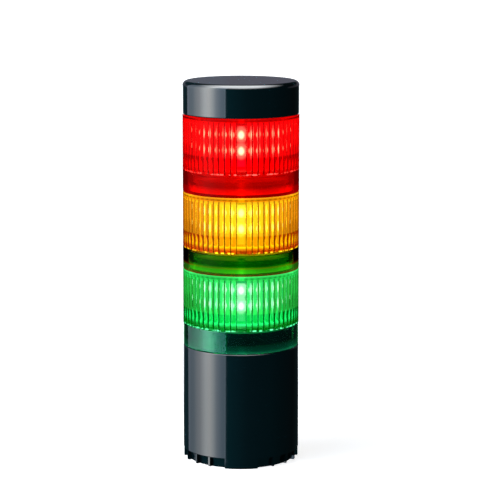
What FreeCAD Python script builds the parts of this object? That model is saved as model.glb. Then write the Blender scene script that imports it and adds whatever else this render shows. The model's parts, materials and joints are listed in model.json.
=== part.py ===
import FreeCAD, Part
import math
import os

# LED signal tower: a direct-mount base, three lit tiers and a blanking cap, stacked on one axis.
# Millimetres, +Z up, origin at the centre of the mounting plane. The front faces -Y.
# Each module's neck plugs into the skirt of the module above and is held by a three-lug bayonet.

V = FreeCAD.Vector
ORIGIN = V(0, 0, 0)
UP = V(0, 0, 1)

# ---------------------------------------------------------------- driving dimensions
TOWER_R = 30.0            # outside radius of every module
BASE_H = 60.0             # mounting plane to the base's shoulder
TIER_H = 40.0             # pitch of the lit tiers
CAP_H = 17.0
TIERS = ("green", "amber", "red")
WALL = 2.2                # moulded wall of the base and the cap
FRONT = -90.0             # direction of the front, degrees from +X about +Z
JOINT_GAP = 0.15          # air between a module's skirt and the shoulder it stands on
EDGE = 0.5                # rounding of a module's outer edges

# Neck on top of a module, and the skirt that goes over it. Heights count from the shoulder.
NECK_R = 26.6
NECK_BORE_R = 24.8
NECK_H = 10.4
SHOULDER_T = 2.0
LEDGE_R = 23.5            # ledge in the neck that carries the contact plate
SEAL_H = 1.4
LEDGE_Z = 4.8
PLATE_Z = 6.0
PLATE_T = 1.6
LIP_H = 4.2
LIP_R = 27.3
SKIRT_R = 27.6
SKIRT_H = 11.5

# Bayonet: lugs inside the lip turn under ramps on the neck and meet a stop rib.
BAYONET_WAYS = 3
STOP_AT = FRONT + 14.0
STOP_HALF = 1.0
STOP_R = 27.0
LUG_R = 26.9
LUG_Z = (2.0, 3.8)
LUG_SPAN = (STOP_AT + 1.7, STOP_AT + 26.7)
RAMP_R = 27.2
RAMP_Z = (4.05, 6.05)
RAMP_SPAN = (STOP_AT + 2.0, STOP_AT + 18.5)

# Lens flutes: half-round ribs on the inside wall, with one smooth window at the front.
FLUTES = 58
WINDOW = 9.1              # degrees
FLUTE_CREST_R = 27.45
FLUTE_ROOT_R = 28.05

# Alignment arrow, engraved at the front of each lens's lip.
ARROW_W = 2.4
ARROW_Z = (0.9, 2.7)
ARROW_DEPTH = 0.3

# LED carrier: base disc, six-sided drum and top flange. Heights count from the tier's foot.
DISC_Z = (11.6, 13.2)
DISC_R = 27.35
DRUM_APOTHEM = 12.0
DRUM_BORE_R = 10.5
FLANGE_T = 1.6
FLANGE_R = 26.6
SIDES = 6
BOARD_T = 1.0
BOARD_W = 12.0
BOARD_Z = (14.2, 34.8)
LED_SIZE = 5.0
LED_T = 1.2
LED_DOME_R = 1.9
LED_ROWS = (22.3, 30.5)

# Contacts: spring rods under a module rest on pads of the plate below.
CONTACTS = 4
CONTACT_R = 8.0
ROD_R = 0.8
PAD_T = 0.3
PAD_W = 2.4
PAD_HALF = 14.0
PIN_GAP = 0.1

# Small screws
SCREW_R = 1.25
SCREW_HEAD_R = 2.2
SCREW_HEAD_T = 1.4
SCREW_LEN = 11.0
SCREW_PCD_R = 20.5
SCREWS = 3
HOLE_CLEAR = 0.1

# Foot of the base
FOOT_H = 5.0
FOOT_R = 28.4              # recess wall of the foot, where it meets the body
FOOT_LEAN = 1.0            # how far that wall leans in, down to the mounting plane
FLOOR_T = 2.2
TABS = 3
TAB_HALF = 16.5
RIBS_BETWEEN = 4
RIB_PITCH = 17.4
RIB_T = 1.0
INSERT_PCD_R = 22.0
INSERT_R = 3.0
INSERT_BORE_R = 2.0
INSERT_H = 8.0
BOSS_R = 4.4
BOSS_H = 10.5
HUB_R = 17.4
GASKET_R = (9.0, 17.0)
GASKET_T = 2.2
GROMMET_R = 6.5
GROMMET_FLANGE_R = 8.2
GROMMET_BORE_R = 4.0

# Control board, standing behind the cable entry
CARD_Y = 10.0
CARD_T = 1.6
CARD_HALF_W = 22.0
CARD_Z = (11.0, 50.0)
CARD_SCREW_X = 17.0
CARD_SCREW_Z = 14.0


# ---------------------------------------------------------------- helpers
def polar(radius, degrees, z=0.0):
    angle = math.radians(degrees)
    return V(radius * math.cos(angle), radius * math.sin(angle), z)


def turned(shape, degrees):
    copy = shape.copy()
    copy.rotate(ORIGIN, UP, degrees)
    return copy


def lifted(shape, z):
    copy = shape.copy()
    copy.translate(V(0, 0, z))
    return copy


def around(shape, count):
    return [turned(shape, 360.0 * i / count) for i in range(count)]


def fused(shapes):
    whole = shapes[0].fuse(shapes[1:]) if len(shapes) > 1 else shapes[0]
    return whole.removeSplitter()


def revolved(outline):
    """Solid of revolution about Z from (radius, z) points."""
    points = [V(r, 0, z) for r, z in outline]
    face = Part.Face(Part.makePolygon(points + points[:1]))
    return face.revolve(ORIGIN, UP, 360)


def disc(radius, z_low, z_high, at=ORIGIN):
    return Part.makeCylinder(radius, z_high - z_low, at + V(0, 0, z_low))


def ring(r_in, r_out, z_low, z_high):
    return revolved([(r_in, z_low), (r_out, z_low), (r_out, z_high), (r_in, z_high)])


def sector(r_in, r_out, z_low, z_high, start, end):
    """Piece of a ring between two directions."""
    half = [V(r_in, 0, z_low), V(r_out, 0, z_low), V(r_out, 0, z_high), V(r_in, 0, z_high)]
    piece = Part.Face(Part.makePolygon(half + half[:1])).revolve(ORIGIN, UP, end - start)
    return turned(piece, start)


def box(x, y, z):
    """Box from (low, high) pairs."""
    return Part.makeBox(x[1] - x[0], y[1] - y[0], z[1] - z[0], V(x[0], y[0], z[0]))


def save(name, *solids):
    shape = solids[0] if len(solids) == 1 else Part.makeCompound(solids)
    if not shape.isValid():
        raise ValueError(name + " is not a valid solid")
    shape.exportStep("parts/" + name + ".step")
    print(name, len(shape.Solids), round(shape.Volume))


# ---------------------------------------------------------------- features that modules share
def neck_outline(shoulder):
    """Outside and bore of a module's neck, from the shoulder's outer edge to the shoulder's underside."""
    top = shoulder + NECK_H
    return [
        (TOWER_R, shoulder - EDGE),
        (TOWER_R - 0.3 * EDGE, shoulder - 0.3 * EDGE),
        (TOWER_R - EDGE, shoulder),
        (NECK_R, shoulder),
        (NECK_R, top - EDGE),
        (NECK_R - EDGE, top),
        (NECK_BORE_R, top),
        (NECK_BORE_R, shoulder + PLATE_Z),
        (LEDGE_R, shoulder + PLATE_Z),
        (LEDGE_R, shoulder + LEDGE_Z),
        (NECK_BORE_R, shoulder + LEDGE_Z),
        (NECK_BORE_R, shoulder - SHOULDER_T),
    ]


def skirt_outline(foot):
    """Inside and lower edge of a module's skirt, from the skirt's top down to the outer wall."""
    bottom = foot + JOINT_GAP
    return [
        (SKIRT_R, foot + SKIRT_H),
        (SKIRT_R, foot + LIP_H),
        (LIP_R, foot + LIP_H),
        (LIP_R, bottom),
        (TOWER_R - EDGE, bottom),
        (TOWER_R - 0.3 * EDGE, bottom + 0.3 * EDGE),
        (TOWER_R, bottom + EDGE),
    ]


def bayonet_ramps(shoulder):
    """Ramps and stop ribs that stand out of a neck."""
    ramp = sector(NECK_R - EDGE, RAMP_R, shoulder + RAMP_Z[0], shoulder + RAMP_Z[1], *RAMP_SPAN)
    stop = sector(NECK_R - EDGE, STOP_R, shoulder + SEAL_H + HOLE_CLEAR, shoulder + NECK_H - 2 * EDGE,
                  STOP_AT - STOP_HALF, STOP_AT + STOP_HALF)
    return around(ramp, BAYONET_WAYS) + around(stop, BAYONET_WAYS)


def bayonet_lugs(foot):
    """Lugs that stand in from a skirt's lip."""
    lug = sector(LUG_R, LIP_R + EDGE, foot + LUG_Z[0], foot + LUG_Z[1], *LUG_SPAN)
    return around(lug, BAYONET_WAYS)


def screw_seats(z_low, z_high, radius):
    """Cylinders on the contact plate's screw circle."""
    return around(disc(radius, z_low, z_high, polar(SCREW_PCD_R, FRONT)), SCREWS)


def neck_seal(shoulder):
    """Rubber ring round the root of a neck."""
    return ring(NECK_R + 0.02, LUG_R + 0.15, shoulder + 0.02, shoulder + SEAL_H)


def contact_plate(shoulder):
    low = shoulder + PLATE_Z
    plate = disc(NECK_BORE_R - HOLE_CLEAR, low, low + PLATE_T)
    holes = screw_seats(low - 1, low + PLATE_T + 1, SCREW_R + HOLE_CLEAR)
    key = box((-1.5, 1.5), (NECK_BORE_R - 2.0, NECK_BORE_R + 1), (low - 1, low + PLATE_T + 1))
    return plate.cut(holes + [key])


def contact_pads(shoulder):
    low = shoulder + PLATE_Z + PLATE_T
    pad = sector(CONTACT_R - PAD_W / 2, CONTACT_R + PAD_W / 2, low, low + PAD_T, 45 - PAD_HALF, 45 + PAD_HALF)
    return around(pad, CONTACTS)


def contact_screws(shoulder):
    """Pan-head screws through the contact plate, with a cross recess."""
    seat = shoulder + PLATE_Z + PLATE_T
    at = polar(SCREW_PCD_R, FRONT)
    head = disc(SCREW_HEAD_R, seat, seat + SCREW_HEAD_T, at)
    head = head.makeFillet(0.5, [e for e in head.Edges if e.BoundBox.ZMin > seat + SCREW_HEAD_T - 0.01])
    shank = disc(SCREW_R, seat - SCREW_LEN, seat, at)
    bar = box((-1.2, 1.2), (-0.25, 0.25), (seat + 0.8, seat + 2))
    cross = fused([bar, turned(bar, 90)])
    cross.translate(at)
    return around(fused([head, shank]).cut(cross), SCREWS)


def contact_housing(shoulder, low):
    """Cup in the neck, under the contact plate, that takes the plate's screws."""
    top = shoulder + PLATE_Z - HOLE_CLEAR
    wall = ring(LEDGE_R - 1.8, LEDGE_R - 0.3, low, top)
    bosses = screw_seats(low, top, SCREW_HEAD_R + 0.2)
    pilots = screw_seats(low - 1, top + 1, SCREW_R + 0.02)
    return fused([wall] + bosses).cut(pilots)


# ---------------------------------------------------------------- base
def body_shell():
    wall_in = TOWER_R - WALL
    foot_low = FOOT_R - FOOT_LEAN
    floor_top = FOOT_H + FLOOR_T
    outline = neck_outline(BASE_H) + [
        (wall_in, BASE_H - SHOULDER_T),
        (wall_in, floor_top),
        (GROMMET_R + HOLE_CLEAR, floor_top),
        (GROMMET_R + HOLE_CLEAR, GASKET_T),
        (HUB_R, GASKET_T),
        (HUB_R, FOOT_H),
        (FOOT_R - WALL, FOOT_H),
        (foot_low - WALL, 0),
        (foot_low, 0),
        (FOOT_R, FOOT_H),
        (TOWER_R - EDGE, FOOT_H),
        (TOWER_R - 0.3 * EDGE, FOOT_H + 0.3 * EDGE),
        (TOWER_R, FOOT_H + EDGE),
    ]
    shell = revolved(outline)
    bosses = around(disc(BOSS_R, 0, BOSS_H, polar(INSERT_PCD_R, FRONT)), TABS)
    shell = fused([shell] + foot_tabs() + foot_ribs() + bosses + card_rails() + card_bosses()
                  + bayonet_ramps(BASE_H))
    seats = around(disc(INSERT_R, -1, INSERT_H, polar(INSERT_PCD_R, FRONT)), TABS)
    return shell.cut(seats + card_pilots())


def foot_tabs():
    """Wide tabs that carry the outer wall's line down to the mounting plane."""
    inner = FOOT_R - FOOT_LEAN - 1
    top = FOOT_H + 1
    outline = [(inner, 0), (TOWER_R - EDGE, 0), (TOWER_R, EDGE), (TOWER_R, top), (inner, top)]
    points = [V(r, 0, z) for r, z in outline]
    tab = Part.Face(Part.makePolygon(points + points[:1])).revolve(ORIGIN, UP, 2 * TAB_HALF)
    return around(turned(tab, FRONT - TAB_HALF), TABS)


def foot_ribs():
    """Thin upright ribs in the recess between the tabs."""
    inner = FOOT_R - FOOT_LEAN - 1
    outline = [(inner, 0.2), (TOWER_R - 0.5, 0.2), (TOWER_R - 0.2, 0.5), (TOWER_R - 0.2, FOOT_H + 1),
               (inner, FOOT_H + 1)]
    points = [V(r, -RIB_T / 2, z) for r, z in outline]
    rib = Part.Face(Part.makePolygon(points + points[:1])).extrude(V(0, RIB_T, 0))
    first = 60.0 - RIB_PITCH * (RIBS_BETWEEN - 1) / 2
    between = [turned(rib, FRONT + first + RIB_PITCH * i) for i in range(RIBS_BETWEEN)]
    return [copy for each in between for copy in around(each, TABS)]


def card_rails():
    """Two slotted rails inside the wall that the control board slides into."""
    z = (FOOT_H + 1, CARD_Z[1])
    slot_half = CARD_T / 2 + HOLE_CLEAR
    rail = box((CARD_HALF_W - 1.6, TOWER_R), (CARD_Y - 2.4, CARD_Y + 2.4), z)
    slot = box((0, CARD_HALF_W + HOLE_CLEAR), (CARD_Y - slot_half, CARD_Y + slot_half), (CARD_Z[0] - 0.1, 60))
    right = rail.cut(slot).common(disc(TOWER_R - 1, 0, BASE_H))
    return [right, right.mirror(ORIGIN, V(1, 0, 0))]


def card_bosses():
    """Bosses from the rear wall to the control board's back."""
    back = CARD_Y + CARD_T / 2
    boss = Part.makeCylinder(2.6, 15, V(CARD_SCREW_X, back, CARD_SCREW_Z), V(0, 1, 0))
    boss = boss.common(disc(TOWER_R - 1, 0, BASE_H))
    return [boss, boss.mirror(ORIGIN, V(1, 0, 0))]


def card_pilots():
    pilot = Part.makeCylinder(SCREW_R + 0.02, 8, V(CARD_SCREW_X, CARD_Y, CARD_SCREW_Z), V(0, 1, 0))
    return [pilot, pilot.mirror(ORIGIN, V(1, 0, 0))]


def base_gasket():
    """Flat rubber ring between the hub and the panel, with two raised sealing beads."""
    body = ring(GASKET_R[0], GASKET_R[1], 0.3, GASKET_T)
    beads = [ring(r, r + 1.4, 0, 0.6) for r in (GASKET_R[0] + 1.0, GASKET_R[1] - 2.4)]
    return fused([body] + beads)


def mounting_inserts():
    """Threaded brass inserts in the foot, with a knurl relief groove."""
    outline = [(INSERT_BORE_R, 0), (INSERT_R - 0.02, 0), (INSERT_R - 0.02, 3), (INSERT_R - 0.4, 3.3),
               (INSERT_R - 0.4, 4.3), (INSERT_R - 0.02, 4.6), (INSERT_R - 0.02, INSERT_H - 0.1),
               (INSERT_BORE_R, INSERT_H - 0.1)]
    insert = revolved(outline)
    insert.translate(polar(INSERT_PCD_R, FRONT))
    return around(insert, TABS)


def cable_grommet():
    """Rubber grommet in the hub, gripping the floor between two flanges."""
    floor_top = FOOT_H + FLOOR_T
    return revolved([
        (GROMMET_BORE_R, 1.0),
        (GROMMET_FLANGE_R - 0.6, 1.0),
        (GROMMET_FLANGE_R, 1.6),
        (GROMMET_FLANGE_R, GASKET_T),
        (GROMMET_R, GASKET_T),
        (GROMMET_R, floor_top),
        (GROMMET_FLANGE_R, floor_top),
        (GROMMET_FLANGE_R - 1.2, floor_top + 1.6),
        (GROMMET_BORE_R, floor_top + 1.6),
    ])


def control_board():
    half = CARD_T / 2
    board = box((-CARD_HALF_W, CARD_HALF_W), (CARD_Y - half, CARD_Y + half), CARD_Z)
    hole = Part.makeCylinder(SCREW_R + HOLE_CLEAR, 4, V(CARD_SCREW_X, CARD_Y - 2, CARD_SCREW_Z), V(0, 1, 0))
    return board.cut([hole, hole.mirror(ORIGIN, V(1, 0, 0))])


def board_screws():
    front = CARD_Y - CARD_T / 2
    screws = []
    for x in (-CARD_SCREW_X, CARD_SCREW_X):
        seat = V(x, front, CARD_SCREW_Z)
        head = Part.makeCylinder(SCREW_HEAD_R, SCREW_HEAD_T, seat, V(0, -1, 0))
        shank = Part.makeCylinder(SCREW_R, 8, seat, V(0, 1, 0))
        recess = box((x - 1.2, x + 1.2), (front - 2, front - 0.8), (CARD_SCREW_Z - 0.25, CARD_SCREW_Z + 0.25))
        screws.append(fused([head, shank]).cut(recess))
    return screws


def terminal_block():
    """Screw terminals on the control board, wire mouths facing down to the cable entry."""
    front = CARD_Y - CARD_T / 2
    width, deep, low, high = 30.0, 8.6, 22.0, 33.0
    ways = 6
    block = box((-width / 2, width / 2), (front - deep, front), (low, high))
    pitch = width / ways
    cuts = []
    for i in range(ways):
        x = -width / 2 + pitch * (i + 0.5)
        cuts.append(box((x - 1.6, x + 1.6), (front - deep + 3.2, front - 1.6), (low - 1, low + 6)))
        cuts.append(Part.makeCylinder(1.7, 2.0, V(x, front - deep, high - 4), V(0, 1, 0)))
    return block.cut(cuts)


def capacitors():
    """Two upright cans soldered to the control board."""
    front = CARD_Y - CARD_T / 2
    cans = []
    for x in (-11.0, 11.0):
        can = Part.makeCylinder(4.0, 11, V(x, front, 42.0), V(0, -1, 0))
        groove = Part.makeTorus(4.2, 0.5, V(x, front - 2.0, 42.0), V(0, 1, 0))
        cans.append(can.cut(groove))
    return cans


def driver_chips():
    """Four driver packages on the control board's back."""
    back = CARD_Y + CARD_T / 2
    chips = []
    for x in (-9.0, 9.0):
        for z in (24.0, 38.0):
            body = box((x - 3, x + 3), (back + 0.1, back + 1.7), (z - 4, z + 4))
            leg_pairs = [box((x - 4.2, x + 4.2), (back, back + 0.5), (foot, foot + 0.6))
                         for foot in (z - 3.4, z - 1.6, z + 0.2, z + 2.0)]
            chips.append(fused([body] + leg_pairs))
    return chips


def base_contact_ring():
    """Contact housing of the base, with a flange that bears up against the shoulder."""
    low = BASE_H - SHOULDER_T
    flange = ring(LEDGE_R - 1.8, FLANGE_R, low - FLANGE_T, low)
    return fused([contact_housing(BASE_H, low - FLANGE_T), flange]).cut(
        screw_seats(low - 4, low + 1, SCREW_R + 0.02))


def make_base():
    save("body_shell", body_shell())
    save("base_neck_seal", neck_seal(BASE_H))
    save("base_gasket", base_gasket())
    save("mounting_inserts", *mounting_inserts())
    save("cable_grommet", cable_grommet())
    save("control_board", control_board())
    save("board_screws", *board_screws())
    save("terminal_block", terminal_block())
    save("capacitors", *capacitors())
    save("driver_chips", *driver_chips())
    save("base_contact_housing", base_contact_ring())
    save("base_contact_plate", contact_plate(BASE_H))
    save("base_contact_pads", *contact_pads(BASE_H))
    save("base_contact_screws", *contact_screws(BASE_H))


# ---------------------------------------------------------------- lit tiers
def fluted_cavity(z_low, z_high):
    """Inside of a lens: half-round ribs, convex towards the axis, and the smooth front window."""
    step = (360.0 - WINDOW) / FLUTES
    first = FRONT + WINDOW / 2
    window = [polar(FLUTE_ROOT_R, FRONT + side * WINDOW / 2, z_low) for side in (-1, 0, 1)]
    arcs = [Part.Arc(*window).toShape()]
    for i in range(FLUTES):
        start = polar(FLUTE_ROOT_R, first + step * i, z_low)
        crest = polar(FLUTE_CREST_R, first + step * (i + 0.5), z_low)
        end = polar(FLUTE_ROOT_R, first + step * (i + 1), z_low)
        arcs.append(Part.Arc(start, crest, end).toShape())
    return Part.Face(Part.Wire(arcs)).extrude(V(0, 0, z_high - z_low))


def alignment_arrow(foot):
    """Cutter for the arrow that points down at the joint."""
    half = ARROW_W / 2
    low, high = foot + ARROW_Z[0], foot + ARROW_Z[1]
    corners = [V(-half, -TOWER_R - 1, high), V(half, -TOWER_R - 1, high), V(0, -TOWER_R - 1, low)]
    return Part.Face(Part.makePolygon(corners + corners[:1])).extrude(V(0, 1 + ARROW_DEPTH, 0))


def lens(foot):
    shoulder = foot + TIER_H
    ceiling = shoulder - SHOULDER_T
    core = NECK_BORE_R - 1.0
    outline = neck_outline(shoulder) + [(core, ceiling), (core, foot + SKIRT_H)] + skirt_outline(foot)
    cavity = fluted_cavity(foot + SKIRT_H, ceiling)
    shell = fused([revolved(outline).cut(cavity)] + bayonet_lugs(foot) + bayonet_ramps(shoulder))
    return shell.cut(alignment_arrow(foot))


def led_carrier(foot):
    """White spool: a base disc that snaps inside the flutes, a six-sided drum and a top flange."""
    flange_z = foot + TIER_H - SHOULDER_T
    base = disc(DISC_R, foot + DISC_Z[0], foot + DISC_Z[1])
    drum = six_sided(DRUM_APOTHEM, foot + DISC_Z[1], flange_z - FLANGE_T)
    flange = disc(FLANGE_R, flange_z - FLANGE_T, flange_z)
    bore = disc(DRUM_BORE_R, foot + DISC_Z[1], flange_z + 1)
    rods = around(disc(ROD_R + HOLE_CLEAR, foot, flange_z, polar(CONTACT_R, 45)), CONTACTS)
    pilots = screw_seats(flange_z - FLANGE_T - 1, flange_z + 1, SCREW_R + 0.02)
    return fused([base, drum, flange]).cut([bore] + rods + pilots)


def six_sided(apothem, z_low, z_high):
    """Prism with one face to the front."""
    corner = apothem / math.cos(math.pi / SIDES)
    points = [polar(corner, FRONT + 360.0 * (i + 0.5) / SIDES, z_low) for i in range(SIDES)]
    return Part.Face(Part.makePolygon(points + points[:1])).extrude(V(0, 0, z_high - z_low))


def led_boards(foot):
    """Six narrow boards, one on each face of the drum."""
    board = box((-BOARD_W / 2, BOARD_W / 2), (-DRUM_APOTHEM - BOARD_T, -DRUM_APOTHEM),
                (foot + BOARD_Z[0], foot + BOARD_Z[1]))
    return around(board, SIDES)


def leds(foot):
    """Square LED packages with a domed top, two rows on every board."""
    back = -DRUM_APOTHEM - BOARD_T
    half = LED_SIZE / 2
    found = []
    for row in LED_ROWS:
        z = foot + row
        case = box((-half, half), (back - LED_T, back), (z - half, z + half))
        dome = Part.makeSphere(LED_DOME_R, V(0, back - LED_T + 0.9, z))
        cut = box((-half, half), (back - LED_T + 0.1, back + 9), (z - half, z + half))
        found += around(fused([case, dome.cut(cut)]), SIDES)
    return found


def contact_rods(foot):
    """Sprung contact rods from the pads below up to the module's own contact plate."""
    low = foot + PLATE_Z + PLATE_T + PAD_T + PIN_GAP
    high = foot + TIER_H + PLATE_Z
    rod = disc(ROD_R, low + ROD_R / 2, high, polar(CONTACT_R, 45))
    tip = Part.makeCone(ROD_R / 2, ROD_R, ROD_R / 2, polar(CONTACT_R, 45, low))
    return around(fused([rod, tip]), CONTACTS)


def make_tier(name, foot):
    shoulder = foot + TIER_H
    save(name + "_lens", lens(foot))
    save(name + "_neck_seal", neck_seal(shoulder))
    save(name + "_led_carrier", led_carrier(foot))
    save(name + "_led_boards", *led_boards(foot))
    save(name + "_leds", *leds(foot))
    save(name + "_contact_rods", *contact_rods(foot))
    save(name + "_contact_housing", contact_housing(shoulder, shoulder - SHOULDER_T))
    save(name + "_contact_plate", contact_plate(shoulder))
    save(name + "_contact_pads", *contact_pads(shoulder))
    save(name + "_contact_screws", *contact_screws(shoulder))


# ---------------------------------------------------------------- cap
def cap_shell(foot):
    top = foot + CAP_H
    rounding = 2.5
    wall_in = TOWER_R - WALL
    outline = skirt_outline(foot) + [
        (TOWER_R, top),
        (0, top),
        (0, top - WALL),
        (wall_in, top - WALL),
        (wall_in, foot + SKIRT_H),
    ]
    shell = revolved(outline)
    rim = [e for e in shell.Edges if e.BoundBox.ZMin > top - 0.01 and e.BoundBox.XMax > TOWER_R - 0.01]
    shell = shell.makeFillet(rounding, rim)
    rib = box((3, wall_in + 1), (-0.6, 0.6), (foot + SKIRT_H + 1, top - WALL + 0.5))
    return fused([shell] + bayonet_lugs(foot) + around(rib, SIDES))


os.makedirs("parts", exist_ok=True)
make_base()
for index, tier in enumerate(TIERS):
    make_tier(tier, BASE_H + TIER_H * index)
save("cap_shell", cap_shell(BASE_H + TIER_H * len(TIERS)))
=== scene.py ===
import json
import math

import bpy
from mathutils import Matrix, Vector

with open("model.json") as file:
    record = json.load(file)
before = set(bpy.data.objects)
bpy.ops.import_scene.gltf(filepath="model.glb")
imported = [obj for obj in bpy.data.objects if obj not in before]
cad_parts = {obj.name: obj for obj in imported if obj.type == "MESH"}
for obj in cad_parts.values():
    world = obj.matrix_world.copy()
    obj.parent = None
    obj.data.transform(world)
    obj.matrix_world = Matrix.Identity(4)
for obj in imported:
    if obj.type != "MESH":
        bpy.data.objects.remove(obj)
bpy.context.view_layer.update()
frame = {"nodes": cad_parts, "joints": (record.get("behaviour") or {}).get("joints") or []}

# LED signal tower: materials, camera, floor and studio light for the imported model.
# Metres, +Z up, front towards -Y.

nodes = frame["nodes"]
TIERS = ("green", "amber", "red")
MM = 0.001

# ---------------------------------------------------------------- places on a tier
# Heights are above the tier's foot and radii from the tower's axis, all in millimetres.

LENS_SPAN = 52.0              # a lens's foot to past the top of its neck
SKIRT_TOP = 11.5              # the smooth band ends and the flutes begin
FLUTE_FOOT = (11.9, 12.3)     # the dots of light along the foot of the flutes end
FLUTE_TOP = 38.0
SHOULDER_TOP = (39.2, 39.6)   # the flutes' lines on the shoulder fade out
RIBS_BRIGHTEN = (20.0, 20.6)
CORE_BRIGHTENS = (19.5, 20.1)
CORE_DIMS = (36.6, 37.4)      # the carrier's flange begins
RIB_CREST = 27.55
RIB_ROOT = 27.95
INNER_WALL = (28.3, 28.6)     # the fluted wall is inside of this and the smooth one outside
DRUM_FACE = (15.2, 16.2)      # the boards and their drum are inside of this
DISC_FADES = (17.0, 24.5)
FLUTES = 58
WINDOW = 9.1                  # degrees of smooth wall at the front, where no flute is
LED_SIDES = 6
LED_APOTHEM = 13.0            # axis to a board's face
LED_ROWS = (22.3, 30.5)
UNLIT_BAND = "green"          # its smooth foot goes over the dark base

# ---------------------------------------------------------------- colours of the tiers

LENS_IOR = 1.58
CLEAR_DEPTH = 2.4          # mm of lens that let through the shares in LENS_CLEAR
SEEN_DEPTH = 2.3           # mm of lens in front of the colours below
LENS_CLEAR = {"green": (0.08, 0.64, 0.32), "amber": (0.74, 0.40, 0.02), "red": (0.80, 0.010, 0.008)}
REFLECTED = {"green": (0.28, 0.74, 0.66), "amber": (1.0, 1.0, 1.0), "red": (1.0, 1.0, 1.0)}
# Base colours of the pale inner plastic, tinted with each tier's LED colour: painted coloured light, one plastic
# in three lit copies.
INSIDE_PAINTED_LIGHT_TINT = {"green": (0.14, 0.30, 0.12), "amber": (0.32, 0.20, 0.06), "red": (0.30, 0.06, 0.05)}
# Colours as they look through the lens. LED_DOME and LED_CASE are the LEDs' own light; the rest, and those two
# where they lie on boards, are painted glow on parts that are no lamps.
LED_DOME = {"green": (0.85, 1.3, 0.95), "amber": (1.1, 1.05, 0.28), "red": (1.1, 0.80, 0.42)}
LED_CASE = {"green": (0.24, 0.84, 0.40), "amber": (0.92, 0.78, 0.02), "red": (0.90, 0.09, 0.06)}
GLOW_HIGH = {"green": (0.015, 0.42, 0.11), "amber": (0.80, 0.52, 0.004), "red": (0.62, 0.001, 0.002)}
GLOW_LOW = {"green": (0.001, 0.46, 0.065), "amber": (0.62, 0.31, 0.001), "red": (0.90, 0.0, 0.001)}
GLOW_DISC = {"green": (0.02, 1.15, 0.26), "amber": (0.94, 0.76, 0.002), "red": (0.90, 0.0, 0.001)}
GLOW_FAR = {"green": (0.0, 0.04, 0.0), "amber": (0.30, 0.01, 0.0), "red": (0.40, 0.0, 0.0)}
RIB_HIGH = {"green": (0.015, 0.17, 0.025), "amber": (0.24, 0.11, 0.005), "red": (0.32, 0.001, 0.002)}
RIB_LOW = {"green": (0.0, 0.03, 0.0), "amber": (0.08, 0.012, 0.0), "red": (0.11, 0.0, 0.0)}
FOOT_DOTS = {"green": (0.15, 0.90, 0.45), "amber": (0.95, 0.75, 0.02), "red": (0.95, 0.15, 0.12)}
STRIPE_HIGH = {"green": (0.24, 0.84, 0.44), "amber": (0.90, 0.80, 0.03), "red": (0.74, 0.012, 0.016)}
STRIPE_LOW = {"green": (0.03, 0.54, 0.14), "amber": (0.78, 0.48, 0.003), "red": (0.88, 0.001, 0.008)}
# Painted glow in the tier's own neck, under the module above, in place of LED light on its housing, plate and
# screws.
GLOW_NECK = {"green": (0.002, 0.22, 0.008), "amber": (0.33, 0.12, 0.0), "red": (0.5, 0.02, 0.02)}
# Painted glow on a lens's own surfaces, by height above its foot, in place of the light that it pipes from the
# LEDs.
DARK = (0.0, 0.0, 0.0)
PIPED = {
    "green": [
        (0.0, (0.003, 0.05, 0.03)), (0.9, (0.003, 0.05, 0.03)), (1.3, (0.0, 0.02, 0.011)),
        (3.9, (0.0, 0.008, 0.005)), (4.6, DARK), (11.3, DARK), (12.0, (0.0, 0.015, 0.0)),
        (20.0, (0.0, 0.015, 0.0)), (21.0, (0.003, 0.04, 0.004)), (37.8, (0.003, 0.04, 0.004)),
        (38.6, (0.01, 0.24, 0.04)), (39.6, (0.03, 0.38, 0.09)), (40.3, (0.03, 0.60, 0.12)),
        (44.0, (0.01, 0.2, 0.006)), (44.6, (0.0, 0.02, 0.001)), (51.0, (0.0, 0.02, 0.001)),
    ],
    "amber": [
        (0.0, (0.05, 0.01, 0.0)), (0.6, (0.05, 0.01, 0.0)), (1.0, (0.006, 0.07, 0.003)),
        (3.7, (0.006, 0.07, 0.003)), (4.2, (0.05, 0.01, 0.0)), (4.6, DARK), (11.3, DARK),
        (12.0, (0.03, 0.006, 0.0)), (20.0, (0.03, 0.006, 0.0)), (21.0, (0.06, 0.03, 0.0)),
        (37.8, (0.06, 0.03, 0.0)), (38.6, (0.20, 0.11, 0.0)), (39.6, (0.36, 0.23, 0.0)),
        (40.4, (0.50, 0.24, 0.02)), (44.0, (0.18, 0.06, 0.0)), (44.6, (0.06, 0.02, 0.0)),
        (51.0, (0.06, 0.02, 0.0)),
    ],
    "red": [
        (0.0, (0.14, 0.0, 0.0)), (4.0, (0.12, 0.0, 0.0)), (4.6, (0.06, 0.0, 0.0)),
        (11.3, (0.06, 0.0, 0.0)), (12.0, (0.05, 0.0, 0.0)), (20.0, (0.05, 0.0, 0.0)),
        (21.0, (0.09, 0.001, 0.001)), (37.8, (0.09, 0.001, 0.001)), (38.6, (0.13, 0.0, 0.0)),
        (39.6, (0.13, 0.0, 0.0)), (41.0, DARK), (51.0, DARK),
    ],
}

# ---------------------------------------------------------------- camera, floor and light

CAMERA_LENS = 157.3
CAMERA_SENSOR = 36.0
CAMERA_LEVEL = 0.2904      # height of the lens above the mounting plane
CAMERA_AWAY = 1.071        # from the tower's axis
CAMERA_TURN = math.radians(0.4)
AIM = Vector((-0.0005, 0, 0.1142))
FLOOR_HALF = 20.0
FLOOR_GLOW = 0.86
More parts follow.
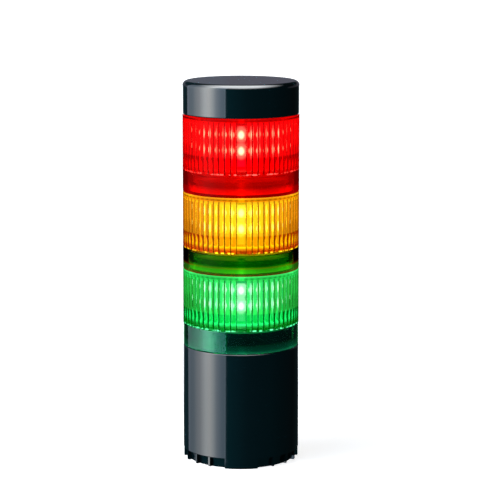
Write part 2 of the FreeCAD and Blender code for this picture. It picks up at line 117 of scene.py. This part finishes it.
# The sky's soft boxes are windows of side, the direction round the tower from the front, in degrees,
# positive to the viewer's left, and of rise, the direction's height in degrees.
KEY_SIDE = (30.5, 131.6)
KEY_RISE = (-28, 55)
KEY_PEAK = 9.0
KEY_STOPS = [
    (31, (3.2, 4.0, 4.9)), (33, (2.0, 2.5, 3.1)), (40, (2.3, 2.8, 3.5)), (50, (3.8, 4.2, 4.8)),
    (58, (6.8, 7.2, 7.5)), (66, (9.0, 9.0, 9.0)), (75, (8.2, 8.5, 8.7)), (90, (4.1, 4.2, 4.45)),
    (109, (1.55, 1.8, 2.1)), (117, (1.15, 1.35, 1.6)), (125, (0.95, 1.1, 1.35)), (131, (1.05, 1.2, 1.5)),
]
WALL_COLOUR = (0.84, 0.78, 1.0)
WALL_LIGHT = 0.165
LOW_COLOUR = (0.9, 0.95, 1.0)
LOW_LIGHT = 2.0
CEILING_COLOUR = (0.95, 0.97, 1.0)
CEILING_LIGHT = 16.0
TEAL_COLOUR = (0.004, 0.090, 0.118)
ROOM_LIGHT = 0.012
MIRROR_LOSS = 0.99         # of the sky's light in clear reflections and refractions

# ---------------------------------------------------------------- shader helpers


def new_material(name):
    mat = bpy.data.materials.new(name)
    mat.use_nodes = True
    return mat, mat.node_tree, mat.node_tree.nodes["Principled BSDF"]


def add(tree, kind, **settings):
    """New shader node with its plain settings."""
    item = tree.nodes.new("ShaderNode" + kind)
    for key, value in settings.items():
        setattr(item, key, value)
    return item


def put(tree, value, socket):
    """Give the socket a number, a colour or another node's output."""
    if isinstance(value, tuple):
        socket.default_value = value + (1.0,)
    elif isinstance(value, (int, float)):
        socket.default_value = value
    else:
        tree.links.new(value, socket)


def place(tree):
    """The point's place on the object, in metres."""
    return add(tree, "TexCoord").outputs["Object"]


def noise(tree, scale, detail=3.0):
    """Noise value with features of about 1/scale metres."""
    texture = add(tree, "TexNoise")
    texture.inputs["Scale"].default_value = scale
    texture.inputs["Detail"].default_value = detail
    tree.links.new(place(tree), texture.inputs["Vector"])
    return texture.outputs["Fac"]


def mapped(tree, value, low, high, to_low, to_high, smooth=False):
    """value from low..high to to_low..to_high, clamped."""
    ranger = add(tree, "MapRange")
    if smooth:
        ranger.interpolation_type = "SMOOTHSTEP"
    for key, number in zip(("From Min", "From Max", "To Min", "To Max"), (low, high, to_low, to_high)):
        ranger.inputs[key].default_value = number
    tree.links.new(value, ranger.inputs["Value"])
    return ranger.outputs["Result"]


def rising(tree, value, low, high, smooth=False):
    return mapped(tree, value, low, high, 0, 1, smooth)


def falling(tree, value, low, high, smooth=False):
    return mapped(tree, value, low, high, 1, 0, smooth)


def math_of(tree, operation, *values):
    item = add(tree, "Math", operation=operation)
    for socket, value in zip(item.inputs, values):
        put(tree, value, socket)
    return item.outputs["Value"]


def times(tree, first, second):
    return math_of(tree, "MULTIPLY", first, second)


def plus(tree, first, second):
    return math_of(tree, "ADD", first, second)


def minus(tree, first, second):
    return math_of(tree, "SUBTRACT", first, second)


def length_of(tree, first, second):
    """Length of the flat vector with these two parts."""
    return math_of(tree, "SQRT", plus(tree, times(tree, first, first), times(tree, second, second)))


def mixed(tree, factor, first, second):
    """Colour between first and second; each is a colour or a socket."""
    mixer = add(tree, "Mix", data_type="RGBA")
    tree.links.new(factor, mixer.inputs["Factor"])
    put(tree, first, mixer.inputs[6])
    put(tree, second, mixer.inputs[7])
    return mixer.outputs[2]


def ramped(tree, value, first, last, stops):
    """Colour ramp over first..last, from stops of place and colour."""
    node = add(tree, "ValToRGB")
    elements = node.color_ramp.elements
    while len(elements) < len(stops):
        elements.new(0.5)
    for element, (where, colour) in zip(elements, stops):
        element.position = (where - first) / (last - first)
        element.color = colour + (1.0,)
    tree.links.new(rising(tree, value, first, last), node.inputs["Fac"])
    return node.outputs["Color"]


def tinted(tree, bsdf, factor, dark, light):
    tree.links.new(mixed(tree, factor, dark, light), bsdf.inputs["Base Color"])


def roughened(tree, bsdf, grain, low, high):
    tree.links.new(mapped(tree, grain, 0.3, 0.7, low, high), bsdf.inputs["Roughness"])


def bumped(tree, bsdf, height, strength, distance):
    bump = add(tree, "Bump")
    bump.inputs["Strength"].default_value = strength
    bump.inputs["Distance"].default_value = distance
    tree.links.new(height, bump.inputs["Height"])
    tree.links.new(bump.outputs["Normal"], bsdf.inputs["Normal"])


# ---------------------------------------------------------------- places in the shaders


def foot_of(tier):
    """Height of the joint that the tier stands on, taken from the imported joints."""
    for joint in frame["joints"]:
        if joint["child"] == tier + "_tier":
            return joint["pos_m"][2]


def from_foot(tree, tier):
    """Height above the tier's foot in millimetres, and the split place."""
    split = add(tree, "SeparateXYZ")
    tree.links.new(place(tree), split.inputs[0])
    above = minus(tree, split.outputs["Z"], foot_of(tier))
    return times(tree, above, 1 / MM), split


def from_axis(tree, split):
    """Distance from the tower's axis, in metres."""
    return length_of(tree, split.outputs["X"], split.outputs["Y"])


def from_front(tree, split):
    """Direction round the axis, in radians from the front."""
    return math_of(tree, "ARCTAN2", split.outputs["X"], times(tree, split.outputs["Y"], -1.0))


def across_board(tree, split):
    """Distance in mm from the middle line of the LED board that faces this way."""
    half = math.pi / LED_SIDES
    local = math_of(tree, "FLOORED_MODULO", plus(tree, from_front(tree, split), half), 2 * math.pi / LED_SIDES)
    across = math_of(tree, "TANGENT", minus(tree, local, half))
    return math_of(tree, "ABSOLUTE", times(tree, across, LED_APOTHEM))


def from_leds(tree, height, across, tall, wide):
    """Distance to the nearest LED, with the height and the width stretched."""
    rows = []
    for row in LED_ROWS:
        up = times(tree, minus(tree, height, row), tall)
        aside = times(tree, across, wide)
        rows.append(length_of(tree, up, aside))
    return math_of(tree, "MINIMUM", *rows)


def beam_of(tree, across, middle, edge):
    """Strength of a painted glow by the distance from a board's middle line, with a narrow streak on the line.
    """
    streak = mapped(tree, across, 0.0, 1.5, 0.6, 0.0, True)
    return plus(tree, mapped(tree, across, 0.0, 7.0, middle, edge, True), streak)


def before_lens(tier, seen):
    """The colour that looks like seen through the tier's lens."""
    power = SEEN_DEPTH / CLEAR_DEPTH
    return tuple(part / share ** power for part, share in zip(seen, LENS_CLEAR[tier]))


# ---------------------------------------------------------------- materials


def gloss_black():
    mat, tree, bsdf = new_material("gloss_black_plastic")
    tinted(tree, bsdf, noise(tree, 60.0), (0.0010, 0.0045, 0.0060), (0.0018, 0.0060, 0.0080))
    roughened(tree, bsdf, noise(tree, 120.0, 5.0), 0.07, 0.11)
    bumped(tree, bsdf, noise(tree, 900.0, 2.0), 0.05, 0.02 * MM)
    return mat


def plain_plastic(name, dark, light, roughness):
    mat, tree, bsdf = new_material(name)
    tinted(tree, bsdf, noise(tree, 250.0), dark, light)
    roughened(tree, bsdf, noise(tree, 400.0, 5.0), *roughness)
    bumped(tree, bsdf, noise(tree, 2500.0, 3.0), 0.15, 0.05 * MM)
    return mat


def metal(name, dark, light, roughness):
    mat, tree, bsdf = new_material(name)
    grain = noise(tree, 900.0, 4.0)
    tinted(tree, bsdf, grain, dark, light)
    roughened(tree, bsdf, grain, *roughness)
    bsdf.inputs["Metallic"].default_value = 1.0
    return mat


def absorb(tree, tier):
    """The lens's volume takes light away by depth, down to the shares in LENS_CLEAR."""
    lost = [-math.log(share) / (CLEAR_DEPTH * MM) for share in LENS_CLEAR[tier]]
    density = max(lost)
    volume = add(tree, "VolumeAbsorption")
    volume.inputs["Color"].default_value = [1 - part / density for part in lost] + [1.0]
    volume.inputs["Density"].default_value = density
    tree.links.new(volume.outputs["Volume"], tree.nodes["Material Output"].inputs["Volume"])


def flute_lines(tree, height, split):
    """Share of the shoulder above the flutes, and the strength of the flutes' lines on it."""
    turn = 2 * math.pi * FLUTES / (2 * math.pi - math.radians(WINDOW))
    past_window = minus(tree, math_of(tree, "ABSOLUTE", from_front(tree, split)), math.radians(WINDOW / 2))
    wave = math_of(tree, "COSINE", times(tree, past_window, turn))
    shoulder = times(tree, rising(tree, height, FLUTE_TOP - 0.1, FLUTE_TOP + 0.1),
                     falling(tree, height, *SHOULDER_TOP))
    return shoulder, mapped(tree, wave, -1, 1, 1.25, 0.5)


def lens_plastic(tier):
    """Tinted clear plastic that absorbs by depth, with a painted glow in place of the light that it pipes from
    the LEDs.
    """
    mat, tree, bsdf = new_material(tier + "_lens_plastic")
    bsdf.inputs["Base Color"].default_value = (1, 1, 1, 1)
    bsdf.inputs["Transmission Weight"].default_value = 1.0
    bsdf.inputs["IOR"].default_value = LENS_IOR
    bsdf.inputs["Specular Tint"].default_value = REFLECTED[tier] + (1.0,)
    bsdf.inputs["Roughness"].default_value = 0.0
    absorb(tree, tier)
    height, split = from_foot(tree, tier)
    if tier == UNLIT_BAND:
        frosted = mapped(tree, height, SKIRT_TOP, SKIRT_TOP + 0.1, 0.05, 0.0)
        tree.links.new(frosted, bsdf.inputs["Roughness"])

    # The fluted wall: painted glow for the light that its ribs catch, and painted dots of light along its foot.
    out = from_axis(tree, split)
    fluted = times(tree, rising(tree, height, SKIRT_TOP - 0.1, SKIRT_TOP),
                   falling(tree, height, FLUTE_TOP, FLUTE_TOP + 0.2))
    on_ribs = times(tree, fluted, falling(tree, out, INNER_WALL[0] * MM, INNER_WALL[1] * MM))
    caught = mixed(tree, rising(tree, height, *RIBS_BRIGHTEN), before_lens(tier, RIB_LOW[tier]),
                   before_lens(tier, RIB_HIGH[tier]))
    dots = times(tree, falling(tree, height, *FLUTE_FOOT), rising(tree, noise(tree, 420.0, 1.0), 0.46, 0.60))
    caught = mixed(tree, dots, caught, before_lens(tier, FOOT_DOTS[tier]))
    piped = ramped(tree, height, 0.0, LENS_SPAN, PIPED[tier])
    tree.links.new(mixed(tree, on_ribs, piped, caught), bsdf.inputs["Emission Color"])

    # Strength of the painted glow: more on the ribs' crests, in lines on the shoulder, and in beams off the
    # fluted wall.
    shoulder, lines = flute_lines(tree, height, split)
    strength = plus(tree, minus(tree, 1.0, shoulder), times(tree, shoulder, lines))
    crests = mapped(tree, out, RIB_CREST * MM, RIB_ROOT * MM, 2.1, 0.0)
    ribbed = plus(tree, minus(tree, 1.0, on_ribs), times(tree, on_ribs, crests))
    beam = beam_of(tree, across_board(tree, split), 0.15, -0.1)
    beam = math_of(tree, "MULTIPLY_ADD", beam, minus(tree, 1.0, fluted), 1.0)
    tree.links.new(times(tree, times(tree, strength, ribbed), beam), bsdf.inputs["Emission Strength"])
    return mat


def lit_led(tier):
    """LED package: its dome shines, its white case glows round it."""
    mat, tree, bsdf = new_material(tier + "_led_lit")
    bsdf.inputs["Base Color"].default_value = (0.8, 0.8, 0.8, 1)
    height, split = from_foot(tree, tier)
    nearest = from_leds(tree, height, across_board(tree, split), 0.8, 1.3)
    glow = mixed(tree, falling(tree, nearest, 0.6, 2.4, True), before_lens(tier, LED_CASE[tier]),
                 before_lens(tier, LED_DOME[tier]))
    tree.links.new(glow, bsdf.inputs["Emission Color"])
    bsdf.inputs["Emission Strength"].default_value = 1.0
    return mat


def lit_inside(tier, name, striped):
    """Pale inner plastic, its base colour tinted with the tier's light, with a painted glow for the LEDs' light:
    bright above the lower row's edge, dimmer under it and outwards.
    A board is striped: it also has a painted stripe of the LEDs' light down its middle, and painted halos round
    the LEDs."""
    mat, tree, bsdf = new_material(tier + "_" + name)
    tinted(tree, bsdf, noise(tree, 250.0), INSIDE_PAINTED_LIGHT_TINT[tier], tuple(part * 1.12 for part in INSIDE_PAINTED_LIGHT_TINT[tier]))
    roughened(tree, bsdf, noise(tree, 400.0, 5.0), 0.35, 0.5)
    height, split = from_foot(tree, tier)
    out = from_axis(tree, split)
    zone = rising(tree, height, *CORE_BRIGHTENS, True)
    far = rising(tree, out, DISC_FADES[0] * MM, DISC_FADES[1] * MM)
    drum = falling(tree, out, DRUM_FACE[0] * MM, DRUM_FACE[1] * MM)
    disc = mixed(tree, far, before_lens(tier, GLOW_DISC[tier]), before_lens(tier, GLOW_FAR[tier]))
    low = mixed(tree, drum, disc, before_lens(tier, GLOW_LOW[tier]))
    glow = mixed(tree, zone, low, before_lens(tier, GLOW_HIGH[tier]))
    if striped:
        across = across_board(tree, split)
        stripe = mixed(tree, zone, before_lens(tier, STRIPE_LOW[tier]), before_lens(tier, STRIPE_HIGH[tier]))
        glow = mixed(tree, falling(tree, across, 0.8, 2.4, True), glow, stripe)
        halo = falling(tree, from_leds(tree, height, across, 0.8, 1.3), 2.4, 4.2, True)
        glow = mixed(tree, halo, glow, before_lens(tier, LED_CASE[tier]))
        spill = falling(tree, from_leds(tree, height, across, 1.4, 0.5), 1.3, 2.9, True)
        glow = mixed(tree, spill, glow, before_lens(tier, LED_DOME[tier]))
    tree.links.new(glow, bsdf.inputs["Emission Color"])
    tree.links.new(mapped(tree, height, *CORE_DIMS, 1.0, 0.6), bsdf.inputs["Emission Strength"])
    return mat


def lit_housing(tier, name):
    """Plastic inside the tier's neck, with a faint painted glow in place of light from below."""
    mat, tree, bsdf = new_material(tier + "_" + name)
    tinted(tree, bsdf, noise(tree, 300.0), (0.30, 0.30, 0.30), (0.36, 0.36, 0.36))
    roughened(tree, bsdf, noise(tree, 400.0, 5.0), 0.45, 0.6)
    _, split = from_foot(tree, tier)
    beam = beam_of(tree, across_board(tree, split), 1.25, 0.85)
    cloud = mapped(tree, noise(tree, 120.0, 2.0), 0.35, 0.65, 0.8, 1.1)
    bsdf.inputs["Emission Color"].default_value = GLOW_NECK[tier] + (1.0,)
    tree.links.new(times(tree, cloud, beam), bsdf.inputs["Emission Strength"])
    return mat


def lit_steel(tier):
    """Screw steel inside the tier's neck, with a painted glow in place of light from below."""
    mat = metal(tier + "_screw_steel", (0.45, 0.45, 0.46), (0.65, 0.65, 0.66), (0.22, 0.35))
    bsdf = mat.node_tree.nodes["Principled BSDF"]
    bsdf.inputs["Emission Color"].default_value = GLOW_NECK[tier] + (1.0,)
    bsdf.inputs["Emission Strength"].default_value = 1.2
    return mat


def dress_everything():
    black = gloss_black()
    dark = plain_plastic("matt_black_plastic", (0.008, 0.008, 0.009), (0.015, 0.015, 0.016), (0.45, 0.6))
    rubber = plain_plastic("seal_rubber", (0.006, 0.006, 0.006), (0.012, 0.012, 0.012), (0.6, 0.8))
    mask_green = plain_plastic("green_board", (0.010, 0.10, 0.03), (0.02, 0.16, 0.05), (0.25, 0.4))
    brass = metal("contact_brass", (0.55, 0.38, 0.13), (0.80, 0.60, 0.26), (0.18, 0.3))
    steel = metal("screw_steel", (0.45, 0.45, 0.46), (0.65, 0.65, 0.66), (0.22, 0.35))
    can = metal("capacitor_can", (0.6, 0.6, 0.62), (0.8, 0.8, 0.82), (0.25, 0.35))
    epoxy = plain_plastic("chip_epoxy", (0.010, 0.010, 0.010), (0.02, 0.02, 0.02), (0.5, 0.65))
    terminal = plain_plastic("terminal_plastic", (0.02, 0.16, 0.04), (0.03, 0.22, 0.06), (0.35, 0.5))
    finishes = {
        "body_shell": black, "cap_shell": black, "base_gasket": rubber, "cable_grommet": rubber,
        "mounting_inserts": brass, "control_board": mask_green, "board_screws": steel,
        "terminal_block": terminal, "capacitors": can, "driver_chips": epoxy,
        "base_contact_housing": dark, "base_contact_plate": mask_green, "base_contact_screws": steel,
    }
    for prefix in ("base",) + TIERS:
        finishes[prefix + "_neck_seal"] = rubber
        finishes[prefix + "_contact_pads"] = brass
    for tier in TIERS:
        finishes[tier + "_lens"] = lens_plastic(tier)
        finishes[tier + "_led_carrier"] = lit_inside(tier, "carrier_plastic", False)
        finishes[tier + "_led_boards"] = lit_inside(tier, "board_mask", True)
        finishes[tier + "_leds"] = lit_led(tier)
        finishes[tier + "_contact_rods"] = brass
        finishes[tier + "_contact_screws"] = lit_steel(tier)
        finishes[tier + "_contact_housing"] = lit_housing(tier, "housing_plastic")
        finishes[tier + "_contact_plate"] = lit_housing(tier, "plate_mask")
        nodes[tier + "_leds"].visible_diffuse = False
        nodes[tier + "_led_boards"].visible_diffuse = False
    for node, mat in finishes.items():
        for slot in nodes[node].material_slots:
            slot.material = mat


# ---------------------------------------------------------------- studio


def make_camera():
    data = bpy.data.cameras.new("camera")
    data.lens = CAMERA_LENS
    data.sensor_width = CAMERA_SENSOR
    camera = bpy.data.objects.new("camera", data)
    camera.location = (-CAMERA_AWAY * math.sin(CAMERA_TURN), -CAMERA_AWAY * math.cos(CAMERA_TURN),
                       CAMERA_LEVEL)
    camera.rotation_euler = (AIM - camera.location).to_track_quat("-Z", "Y").to_euler()
    bpy.context.scene.collection.objects.link(camera)
    bpy.context.scene.camera = camera


def make_floor():
    mesh = bpy.data.meshes.new("floor")
    corners = [(-1, -1), (1, -1), (1, 1), (-1, 1)]
    mesh.from_pydata([(x * FLOOR_HALF, y * FLOOR_HALF, 0) for x, y in corners], [], [(0, 1, 2, 3)])
    floor = bpy.data.objects.new("floor", mesh)
    mat, tree, bsdf = new_material("pale_floor")
    tinted(tree, bsdf, noise(tree, 3.0), (0.60, 0.60, 0.60), (0.62, 0.62, 0.62))
    bsdf.inputs["Roughness"].default_value = 1.0
    bsdf.inputs["Specular IOR Level"].default_value = 0.0
    bsdf.inputs["Emission Color"].default_value = (1, 1, 1, 1)
    bsdf.inputs["Emission Strength"].default_value = FLOOR_GLOW
    mesh.materials.append(mat)
    floor.visible_glossy = False
    floor.visible_transmission = False
    floor.visible_diffuse = False
    bpy.context.scene.collection.objects.link(floor)


def window(tree, value, low, high, edge):
    """1 from low to high with soft edges, and 0 outside."""
    return times(tree, rising(tree, value, low, low + edge, True), falling(tree, value, high - edge, high, True))


def background(tree, colour, strength):
    item = add(tree, "Background")
    put(tree, colour, item.inputs["Color"])
    put(tree, strength, item.inputs["Strength"])
    return item.outputs[0]


def summed(tree, shaders):
    total = shaders[0]
    for shader in shaders[1:]:
        joined = add(tree, "AddShader")
        tree.links.new(total, joined.inputs[0])
        tree.links.new(shader, joined.inputs[1])
        total = joined.outputs[0]
    return total


def either(tree, factor, first, second):
    """Mix of two shaders."""
    mixer = add(tree, "MixShader")
    tree.links.new(factor, mixer.inputs["Fac"])
    tree.links.new(first, mixer.inputs[1])
    tree.links.new(second, mixer.inputs[2])
    return mixer.outputs[0]


def soft_boxes(tree, glossy):
    """The studio's lights as parts of the sky."""
    split = add(tree, "SeparateXYZ")
    tree.links.new(add(tree, "TexCoord").outputs["Generated"], split.inputs[0])
    left, front = (times(tree, split.outputs[axis], -1.0) for axis in ("X", "Y"))
    side = math_of(tree, "DEGREES", math_of(tree, "ARCTAN2", left, front))
    rise = math_of(tree, "DEGREES", math_of(tree, "ARCSINE", split.outputs["Z"]))
    back = math_of(tree, "ABSOLUTE", side)

    stops = [(degrees, tuple(part / KEY_PEAK for part in level)) for degrees, level in KEY_STOPS]
    key = times(tree, window(tree, side, *KEY_SIDE, 0.6), window(tree, rise, *KEY_RISE, 6))
    key = times(tree, times(tree, key, mapped(tree, rise, -14, -4, 0.66, 1.0)), KEY_PEAK)
    wall = times(tree, rising(tree, back, 100, 110, True), window(tree, rise, -2, 14, 2))
    low = times(tree, rising(tree, back, 160, 166, True), window(tree, rise, -14, -2, 3))
    tilted = plus(tree, times(tree, split.outputs["Y"], -0.25), times(tree, split.outputs["Z"], 0.97))
    ceiling = math_of(tree, "POWER", rising(tree, tilted, 0.50, 0.92), 1.9)
    teal = times(tree, mapped(tree, side, -10, 28, 1.0, 2.1), mapped(tree, back, 60, 125, 1.0, 0.12))
    return summed(tree, [
        background(tree, ramped(tree, side, *KEY_SIDE, stops), key),
        background(tree, WALL_COLOUR, times(tree, wall, WALL_LIGHT)),
        background(tree, LOW_COLOUR, times(tree, low, LOW_LIGHT)),
        background(tree, CEILING_COLOUR, times(tree, times(tree, ceiling, CEILING_LIGHT), glossy)),
        background(tree, TEAL_COLOUR, times(tree, teal, glossy)),
        background(tree, (1.0, 1.0, 1.0), ROOM_LIGHT),
    ])


def make_light():
    """Studio light as a sky of soft boxes, behind a plain white that the camera sees."""
    world = bpy.data.worlds.new("studio")
    bpy.context.scene.world = world
    world.use_nodes = True
    tree = world.node_tree
    tree.nodes.clear()
    path = add(tree, "LightPath")
    direct = math_of(tree, "LESS_THAN", path.outputs["Diffuse Depth"], 0.5)
    mirrored = times(tree, path.outputs["Is Singular Ray"], direct)
    boxes = soft_boxes(tree, path.outputs["Is Glossy Ray"])
    dimmed = either(tree, times(tree, mirrored, MIRROR_LOSS), boxes, background(tree, DARK, 1.0))
    seen = either(tree, path.outputs["Is Camera Ray"], dimmed, background(tree, (1.0, 1.0, 1.0), 1.0))
    tree.links.new(seen, add(tree, "OutputWorld").inputs["Surface"])


dress_everything()
make_camera()
make_floor()
make_light()
bpy.context.scene.view_settings.view_transform = "Standard"
